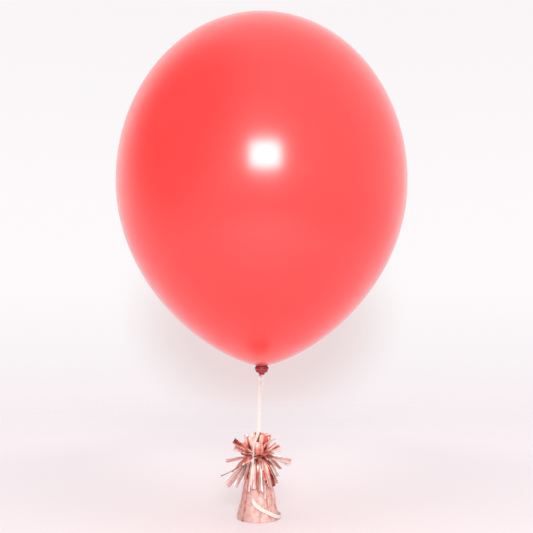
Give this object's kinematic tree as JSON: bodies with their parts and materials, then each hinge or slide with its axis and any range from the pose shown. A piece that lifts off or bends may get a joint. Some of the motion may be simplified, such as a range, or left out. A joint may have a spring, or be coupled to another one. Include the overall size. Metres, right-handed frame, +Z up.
{
  "type": "latex balloon",
  "caption": "Inflated teardrop latex balloon tied by a curling ribbon to a foil-wrapped tabletop weight with a cut fringe.",
  "frame": {"origin": "centre of the weight's base, on the surface it stands on", "axes": "+Z up along the balloon's long axis, -Y towards the front, +X to the right seen from the front"},
  "size_m": [0.3959, 0.396, 0.689],
  "materials": {
    "latex": "stretched coral red latex, glossy and slightly translucent",
    "latex_thick": "unstretched deep red latex, satin",
    "ribbon": "ivory curling ribbon with fine lengthwise ribs, satin",
    "foil": "rose gold metallised film, creased and mirror bright",
    "elastic": "pale elastic band",
    "cup_plastic": "plain moulded polypropylene",
    "ballast": "set plaster and sand"
  },
  "bodies": {
    "weight": {"foil_wrap": "foil", "foil_gather": "foil", "gather_band": "elastic", "ribbon_gather_wrap": "ribbon", "ribbon_gather_knot": "ribbon", "ribbon_tail": "ribbon", "ribbon_crown_run": "ribbon", "upright_strips": "foil", "spread_strips": "foil", "drooping_strips": "foil", "ballast_cup": "cup_plastic", "ballast_core": "ballast", "cup_base": "cup_plastic"},
    "lower_bend": {"ribbon_lower_bend": "ribbon"},
    "lower_ribbon": {"ribbon_lower_run": "ribbon"},
    "upper_ribbon": {"ribbon_upper_run": "ribbon", "ribbon_short_end": "ribbon"},
    "upper_bend": {"ribbon_upper_bend": "ribbon", "ribbon_short_bend": "ribbon"},
    "balloon": {"balloon_skin": "latex", "neck_knot": "latex_thick", "knot_wrap": "latex_thick", "nozzle": "latex_thick", "nozzle_lip": "latex_thick", "ribbon_neck_wrap": "ribbon", "ribbon_neck_knot": "ribbon", "ribbon_neck_run": "ribbon", "ribbon_short_top": "ribbon"}
  },
  "joints": [
    {"name": "ribbon_sway_front_back", "type": "hinge", "parent": "weight", "child": "lower_bend", "pos_m": [-0.00035, -0.0039, 0.1159], "axis": [1, 0, 0], "range_deg": [-30, 30], "stiffness_Nm_per_rad": 0.3},
    {"name": "ribbon_sway_sideways", "type": "hinge", "parent": "lower_bend", "child": "lower_ribbon", "pos_m": [0.00085, -0.0034, 0.1222], "axis": [0, 1, 0], "range_deg": [-30, 30], "stiffness_Nm_per_rad": 0.3},
    {"name": "balloon_spin", "type": "hinge", "parent": "lower_ribbon", "child": "upper_ribbon", "pos_m": [0.005, 0, 0.1427], "axis": [0, 0, 1], "continuous": true},
    {"name": "balloon_nod", "type": "hinge", "parent": "upper_ribbon", "child": "upper_bend", "pos_m": [0.0023, 0.0016, 0.185], "axis": [1, 0, 0], "range_deg": [-25, 25], "stiffness_Nm_per_rad": 0.25},
    {"name": "balloon_lean", "type": "hinge", "parent": "upper_bend", "child": "balloon", "pos_m": [0.0027, 0.0042, 0.1913], "axis": [0, 1, 0], "range_deg": [-25, 25], "stiffness_Nm_per_rad": 0.25}
  ]
}
